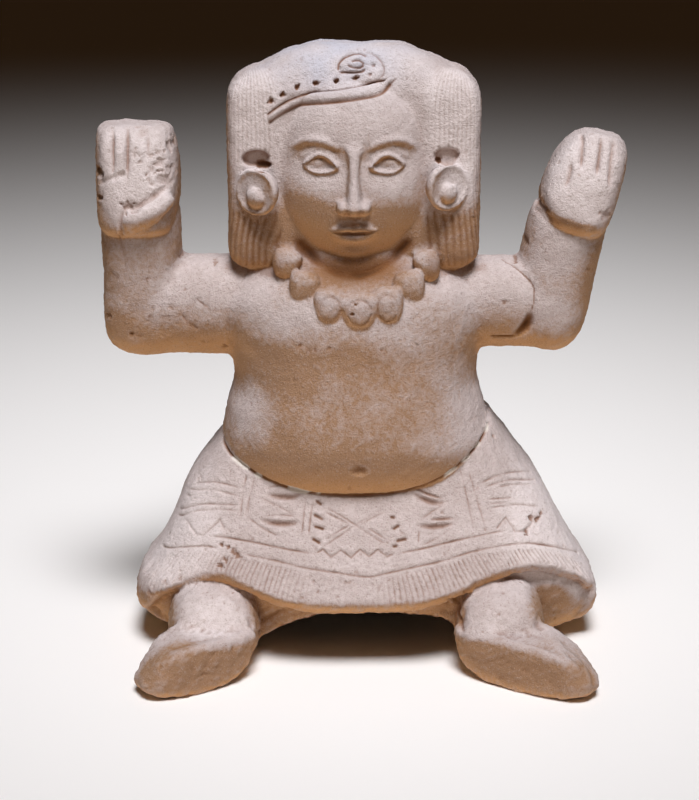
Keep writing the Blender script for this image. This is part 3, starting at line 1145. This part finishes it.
print("thinning the mesh")
mostTriangles = 196000
mesh.calc_loop_triangles()
thin = figure.modifiers.new("thin", "DECIMATE")
thin.ratio = mostTriangles / len(mesh.loop_triangles)
applyModifiers(figure)
figure.data.calc_loop_triangles()
print("triangles", len(figure.data.loop_triangles))


# Camera, light and floor

view = {"elevation": 18.5, "distance": 751.0, "target": (-2.0, 0.0, 79.5), "lens": 100.0}

cameraData = bpy.data.cameras.new("camera")
cameraData.lens, cameraData.sensor_width = view["lens"], 36.0
cameraData.clip_start, cameraData.clip_end = 0.05, 50.0
camera = bpy.data.objects.new("camera", cameraData)
elevation = math.radians(view["elevation"])
back = Vector((0, -math.cos(elevation), math.sin(elevation))) * view["distance"]
camera.location = (Vector(view["target"]) + back + centreLine) * mm
camera.rotation_euler = (math.pi / 2 - elevation, 0, 0)
bpy.context.collection.objects.link(camera)
bpy.context.scene.camera = camera


def linear(colour):
    # sRGB hex to linear
    parts = [int(colour[i:i + 2], 16) / 255 for i in (0, 2, 4)]
    return tuple(c / 12.92 if c <= 0.04045 else ((c + 0.055) / 1.055) ** 2.4 for c in parts) + (1.0,)


def addNode(tree, kind, settings=None, inputs=None):
    # a node with its settings; each input, by name or number, is given a value or a socket to link
    node = tree.nodes.new(kind)
    for name, value in (settings or {}).items():
        setattr(node, name, value)
    for key, value in (inputs or {}).items():
        if isinstance(value, bpy.types.NodeSocket):
            tree.links.new(value, node.inputs[key])
        else:
            node.inputs[key].default_value = value
    return node


def newMaterial(name):
    material = bpy.data.materials.new(name)
    material.use_nodes = True
    material.node_tree.nodes.clear()
    return material, material.node_tree


surroundings = {"glow": "d09a68", "glowStrength": 0.03, "floorHalf": 6.0,
                "paper": "eeedec", "paperRoughness": 0.9}

lights = {
    "key": {"spot": (95, -620, 1720), "aim": (0, 70, 40), "size": (0.7, 0.7), "spread": 34.5, "watts": 2.45,
            "colour": "fefdff"},
    "bounce": {"spot": (0, -760, 30), "aim": (0, 0, 100), "size": (1.8, 0.05), "spread": 60, "watts": 0.44,
               "colour": "ffe2c4"},
}

for name, light in lights.items():
    data = bpy.data.lights.new(name, "AREA")
    data.shape, (data.size, data.size_y) = "RECTANGLE", light["size"]
    data.energy = light["watts"]
    data.color = linear(light["colour"])[:3]
    data.spread = math.radians(light["spread"])
    lamp = bpy.data.objects.new(name, data)
    lamp.location = (Vector(light["spot"]) + centreLine) * mm
    aim = (Vector(light["aim"]) + centreLine) * mm
    lamp.rotation_euler = (aim - lamp.location).to_track_quat("-Z", "Y").to_euler()
    bpy.context.collection.objects.link(lamp)

world = bpy.data.worlds.new("world")
world.use_nodes = True
world.node_tree.nodes["Background"].inputs["Color"].default_value = linear(surroundings["glow"])
world.node_tree.nodes["Background"].inputs["Strength"].default_value = surroundings["glowStrength"]
bpy.context.scene.world = world
bpy.context.scene.view_settings.view_transform = "Standard"

sheet = bmesh.new()
bmesh.ops.create_grid(sheet, x_segments=1, y_segments=1, size=surroundings["floorHalf"])
floor = toObject("floor", sheet)
paper, tree = newMaterial("matt_paper")
shader = addNode(tree, "ShaderNodeBsdfPrincipled", inputs={
    "Base Color": linear(surroundings["paper"]), "Roughness": surroundings["paperRoughness"]})
addNode(tree, "ShaderNodeOutputMaterial", inputs={"Surface": shader.outputs["BSDF"]})
floor.data.materials.append(paper)


# Finish

# Terracotta, pressed from a mould and fired without glaze: a warm sandy body with a matt, pitted skin.
# Pale grey-pink slip and dust lie on what faces up and forwards, and brown soil stays in cuts and hollows.
finish = {
    "clay": "9a7a60", "fresh": "c99a6c", "dust": "bcafad", "slip": "dcd2d2", "soil": "784c28",
    "dark": "140c07", "stain": "b9bdcd", "glue": "e2ddd6",
    "grain": 0.5, "coarse": 1.5, "patch": 9.0,
    "grainDepth": 0.38, "roughness": 0.9, "glueRoughness": 0.2, "specular": 0.2,
}


def makeClay():
    material, tree = newMaterial("fired_clay")
    spot = addNode(tree, "ShaderNodeTexCoord").outputs["Object"]
    painted = {}
    for name in ("dust", "fresh", "soil", "cavity", "glue", "stain"):
        painted[name] = addNode(tree, "ShaderNodeAttribute", {"attribute_name": name}).outputs["Fac"]
    mottle = {}
    for name, detail in (("grain", 2.0), ("coarse", 3.0), ("patch", 4.0)):
        noise = addNode(tree, "ShaderNodeTexNoise", inputs={
            "Vector": spot, "Scale": 1 / (finish[name] * mm), "Detail": detail, "Roughness": 0.62})
        mottle[name] = noise.outputs["Fac"]

    # dust thins out grain by grain where it ends
    dusty = addNode(tree, "ShaderNodeMath", {"operation": "MULTIPLY_ADD"},
                    {0: mottle["coarse"], 1: 0.9, 2: painted["dust"]}).outputs[0]
    dusty = addNode(tree, "ShaderNodeMath", {"operation": "MULTIPLY_ADD"},
                    {0: mottle["patch"], 1: 0.7, 2: dusty}).outputs[0]
    masks = {
        "dust": (dusty, 0.95, 1.65, 0.0, 1.0),
        "fresh": (painted["fresh"], 0.0, 1.0, 0.0, 1.0),
        "slip": (dusty, 1.7, 2.4, 0.0, 1.0),
        "hollow": (painted["cavity"], 0.15, 1.0, 0.0, 0.5),
        "soil": (painted["soil"], 0.0, 1.0, 0.0, 0.85),
        "dark": (painted["soil"], 1.1, 1.8, 0.0, 1.0),
        "rub": (painted["cavity"], -0.2, -0.8, 0.0, 0.3),
        "stain": (painted["stain"], 0.0, 1.0, 0.0, 0.75),
        "darkGrain": (mottle["grain"], 0.42, 0.28, 0.0, 0.45),
        "paleGrain": (mottle["grain"], 0.58, 0.74, 0.0, 0.45),
        "glue": (painted["glue"], 0.2, 0.8, 0.0, 0.8),
    }
    amount = {}
    for name, (value, low, high, least, most) in masks.items():
        mask = addNode(tree, "ShaderNodeMapRange", {"clamp": True}, {
            "Value": value, "From Min": low, "From Max": high, "To Min": least, "To Max": most})
        amount[name] = mask.outputs["Result"]

    colour = linear(finish["clay"])
    for name, tint in (("fresh", "fresh"), ("dust", "dust"), ("slip", "slip"), ("hollow", "soil"),
                       ("rub", "dust"), ("stain", "stain"), ("darkGrain", "soil"),
                       ("paleGrain", "dust"), ("soil", "soil"), ("dark", "dark"), ("glue", "glue")):
        colour = addNode(tree, "ShaderNodeMix", {"data_type": "RGBA"},
                         {0: amount[name], 6: colour, 7: linear(finish[tint])}).outputs[2]

    skin = addNode(tree, "ShaderNodeMath", {"operation": "MULTIPLY_ADD"},
                   {0: mottle["coarse"], 1: 1.3, 2: mottle["grain"]}).outputs[0]
    bump = addNode(tree, "ShaderNodeBump", inputs={"Height": skin, "Strength": 1.0,
                                                   "Distance": finish["grainDepth"] * mm})
    gloss = addNode(tree, "ShaderNodeMapRange", {"clamp": True}, {
        "Value": painted["glue"], "From Min": 0.2, "From Max": 0.8,
        "To Min": finish["roughness"], "To Max": finish["glueRoughness"]})
    shader = addNode(tree, "ShaderNodeBsdfPrincipled", inputs={
        "Base Color": colour, "Roughness": gloss.outputs["Result"], "Normal": bump.outputs["Normal"],
        "Specular IOR Level": finish["specular"]})
    addNode(tree, "ShaderNodeOutputMaterial", inputs={"Surface": shader.outputs["BSDF"]})
    return material


print("finishing")
figure.data.transform(toFrame)
figure.data.shade_smooth()
figure.data.materials.clear()
figure.data.materials.append(makeClay())
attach(figure, "root")
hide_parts("seated_figure")
